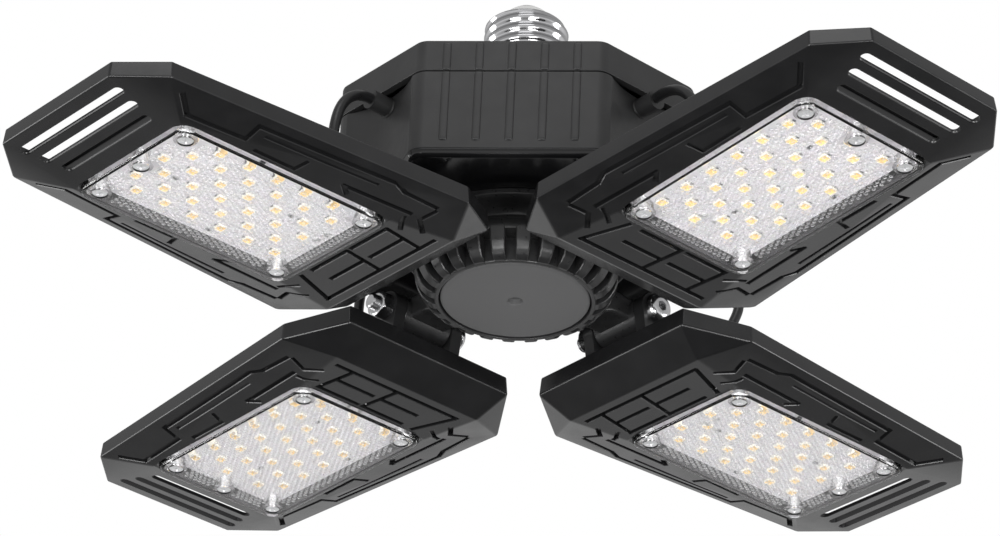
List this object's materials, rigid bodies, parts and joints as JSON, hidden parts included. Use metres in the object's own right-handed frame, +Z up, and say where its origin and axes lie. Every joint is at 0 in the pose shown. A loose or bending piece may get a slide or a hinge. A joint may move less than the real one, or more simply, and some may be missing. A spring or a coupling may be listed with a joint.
{
  "type": "deformable garage light",
  "caption": "Screw-in garage light: a driver housing and finned hub carry hinged rectangular light panels with clear covers.",
  "frame": {"origin": "on the lamp's axis at the shoulder of the screw shell, where its plain rim starts", "axes": "+Z up along the screw base; the flat sides of the housing face X and Y, and the panels lie on the diagonals"},
  "size_m": [0.2745, 0.2747, 0.1192],
  "materials": {
    "shell_metal": "polished nickel plate on drawn brass",
    "insulator": "pale moulded insulator",
    "contact": "tinned contact",
    "housing_black": "fine satin black moulding",
    "base_black": "glossy black moulding",
    "hub_black": "matte black powder coat on die-cast aluminium",
    "frame_black": "semi-gloss black coat",
    "heat_sink_black": "black coated aluminium",
    "board_white": "white solder mask",
    "board_green": "green solder mask",
    "led_phosphor": "yellow phosphor over a white package",
    "lens_clear": "clear polycarbonate with a fine micro-prism pattern",
    "seal_rubber": "black silicone rubber",
    "cable_black": "smooth black sheath",
    "fastener_steel": "bright zinc plated steel",
    "ferrite": "ferrite core and wound bobbin",
    "capacitor_sleeve": "shrink sleeve"
  },
  "bodies": {
    "lamp_base": {"screw_shell": "shell_metal", "base_insulator": "insulator", "contact_tip": "contact", "housing_cover": "housing_black", "driver_housing": "housing_black", "housing_base": "base_black", "housing_screws": "fastener_steel", "driver_board": "board_green", "transformer": "ferrite", "capacitors": "capacitor_sleeve", "hub_heat_sink": "hub_black", "hub_screws": "fastener_steel", "hub_cap": "hub_black", "cable_glands": "seal_rubber", "cable_a": "cable_black", "cable_b": "cable_black", "cable_c": "cable_black", "cable_d": "cable_black"},
    "blade_a": {"blade_a_frame": "frame_black", "blade_a_heat_sink": "heat_sink_black", "blade_a_lens": "lens_clear", "blade_a_lens_screws": "fastener_steel", "blade_a_leds": "led_phosphor", "blade_a_led_board": "board_white", "blade_a_lens_gasket": "seal_rubber", "hinge_a_bolt": "fastener_steel", "hinge_a_nut": "fastener_steel", "blade_a_grommet": "seal_rubber"},
    "blade_b": {"blade_b_frame": "frame_black", "blade_b_heat_sink": "heat_sink_black", "blade_b_lens": "lens_clear", "blade_b_lens_screws": "fastener_steel", "blade_b_leds": "led_phosphor", "blade_b_led_board": "board_white", "blade_b_lens_gasket": "seal_rubber", "hinge_b_bolt": "fastener_steel", "hinge_b_nut": "fastener_steel", "blade_b_grommet": "seal_rubber"},
    "blade_c": {"blade_c_frame": "frame_black", "blade_c_heat_sink": "heat_sink_black", "blade_c_lens": "lens_clear", "blade_c_lens_screws": "fastener_steel", "blade_c_leds": "led_phosphor", "blade_c_led_board": "board_white", "blade_c_lens_gasket": "seal_rubber", "hinge_c_bolt": "fastener_steel", "hinge_c_nut": "fastener_steel", "blade_c_grommet": "seal_rubber"},
    "blade_d": {"blade_d_frame": "frame_black", "blade_d_heat_sink": "heat_sink_black", "blade_d_lens": "lens_clear", "blade_d_lens_screws": "fastener_steel", "blade_d_leds": "led_phosphor", "blade_d_led_board": "board_white", "blade_d_lens_gasket": "seal_rubber", "hinge_d_bolt": "fastener_steel", "hinge_d_nut": "fastener_steel", "blade_d_grommet": "seal_rubber"}
  },
  "joints": [
    {"name": "hinge_a", "type": "hinge", "parent": "lamp_base", "child": "blade_a", "pos_m": [-0.03182, -0.03182, -0.067], "axis": [-0.7071, 0.7071, 0], "range_deg": [-19.3, 90.7], "deforming": ["cable_a"]},
    {"name": "hinge_b", "type": "hinge", "parent": "lamp_base", "child": "blade_b", "pos_m": [0.03182, -0.03182, -0.067], "axis": [-0.7071, -0.7071, 0], "range_deg": [-24.45, 85.55], "deforming": ["cable_b"]},
    {"name": "hinge_c", "type": "hinge", "parent": "lamp_base", "child": "blade_c", "pos_m": [-0.03182, 0.03182, -0.067], "axis": [0.7071, 0.7071, 0], "range_deg": [-19.1, 90.9], "deforming": ["cable_c"]},
    {"name": "hinge_d", "type": "hinge", "parent": "lamp_base", "child": "blade_d", "pos_m": [0.03182, 0.03182, -0.067], "axis": [0.7071, -0.7071, 0], "range_deg": [-20, 90], "deforming": ["cable_d"]}
  ]
}
